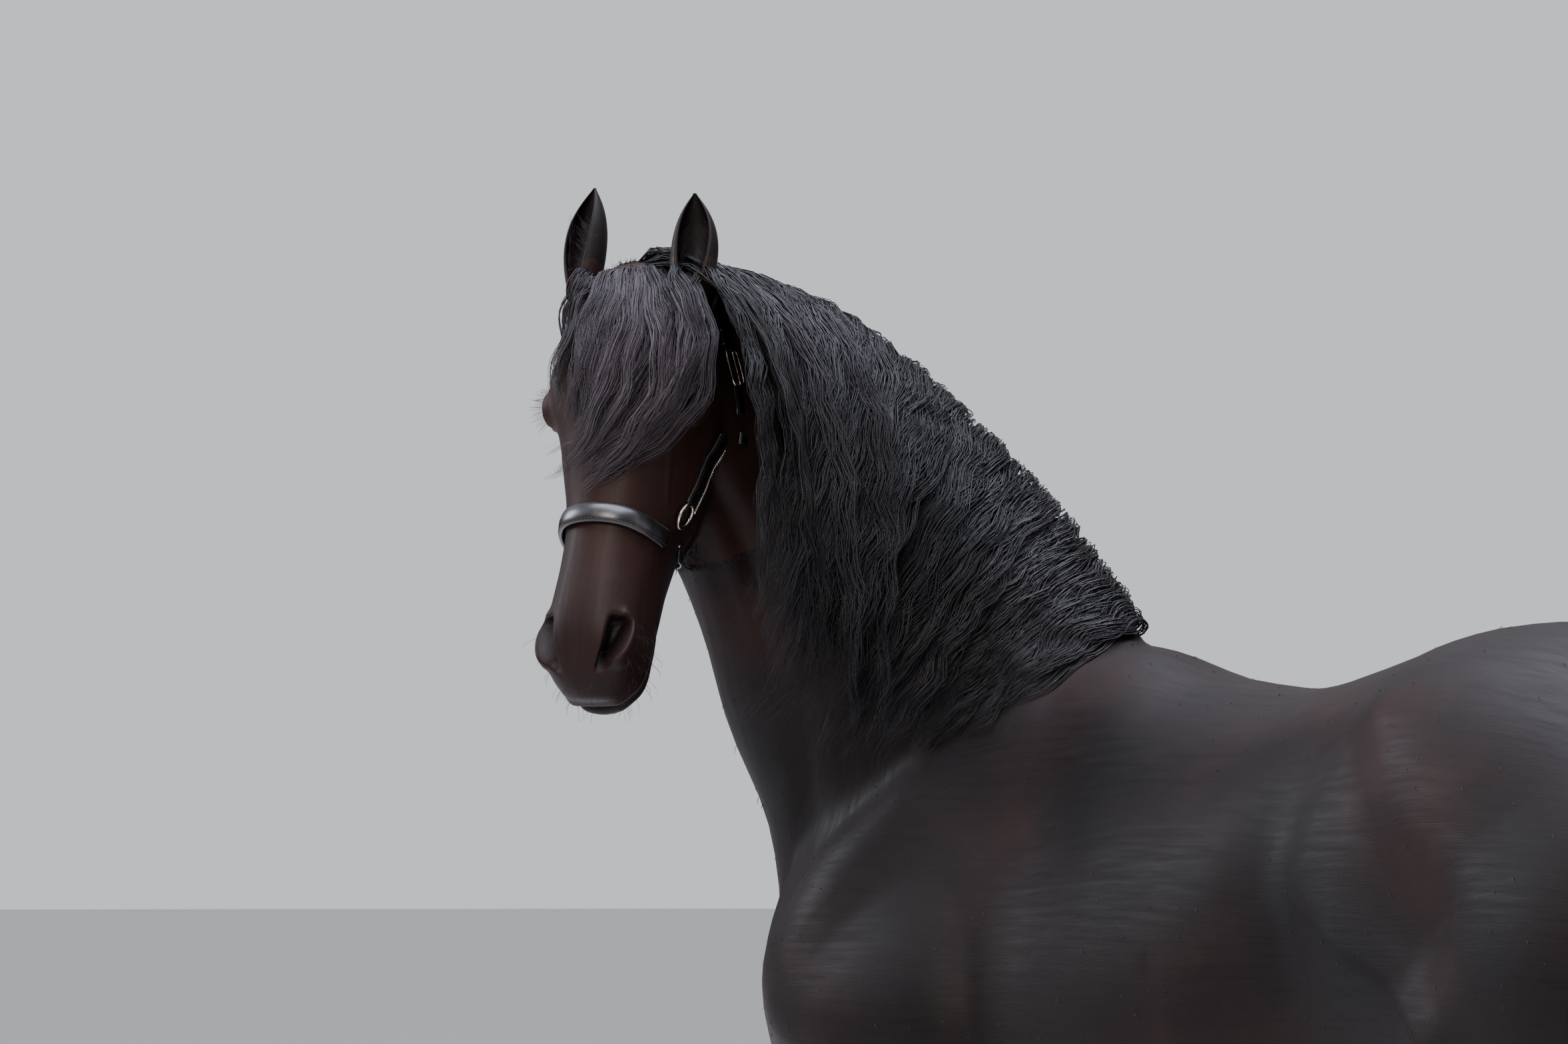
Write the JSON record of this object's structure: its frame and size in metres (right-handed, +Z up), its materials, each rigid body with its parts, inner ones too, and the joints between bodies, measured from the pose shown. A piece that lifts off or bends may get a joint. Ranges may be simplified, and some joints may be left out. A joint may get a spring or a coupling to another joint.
{
  "type": "friesian horse",
  "caption": "Life-size still model of a black draught-built riding horse with long mane, tail and feather, looking back over its left shoulder in a leather headcollar.",
  "frame": {"origin": "on the floor under the middle of the horse's box", "axes": "+X the way the trunk faces, +Y the horse's left, +Z up from the floor that the hooves stand on"},
  "size_m": [1.9716, 0.9806, 2.2224],
  "materials": {
    "coat": "short glossy hair",
    "hair": "long wavy hair",
    "eye": "wet gloss",
    "hoof": "satin horn",
    "leather": "polished black leather",
    "brass": "polished"
  },
  "bodies": {
    "root": {"torso": "coat", "neck_lower": "coat", "neck_upper": "coat", "head": "coat", "ear_left": "coat", "ear_right": "coat", "eye_left": "eye", "eye_right": "eye", "forearm_left": "coat", "forearm_right": "coat", "fore_cannon_left": "coat", "fore_cannon_right": "coat", "fore_hoof_left": "hoof", "fore_hoof_right": "hoof", "gaskin_left": "coat", "gaskin_right": "coat", "hind_cannon_left": "coat", "hind_cannon_right": "coat", "hind_hoof_left": "hoof", "hind_hoof_right": "hoof", "tail": "hair", "headcollar_noseband": "leather", "headcollar_chin_strap": "leather", "headcollar_crown": "leather", "headcollar_throatlatch": "leather", "headcollar_cheek_strap_left": "leather", "headcollar_cheek_strap_right": "leather", "headcollar_cheek_ring_left": "brass", "headcollar_top_ring_left": "brass", "headcollar_cheek_ring_right": "brass", "headcollar_top_ring_right": "brass"}
  },
  "joints": []
}
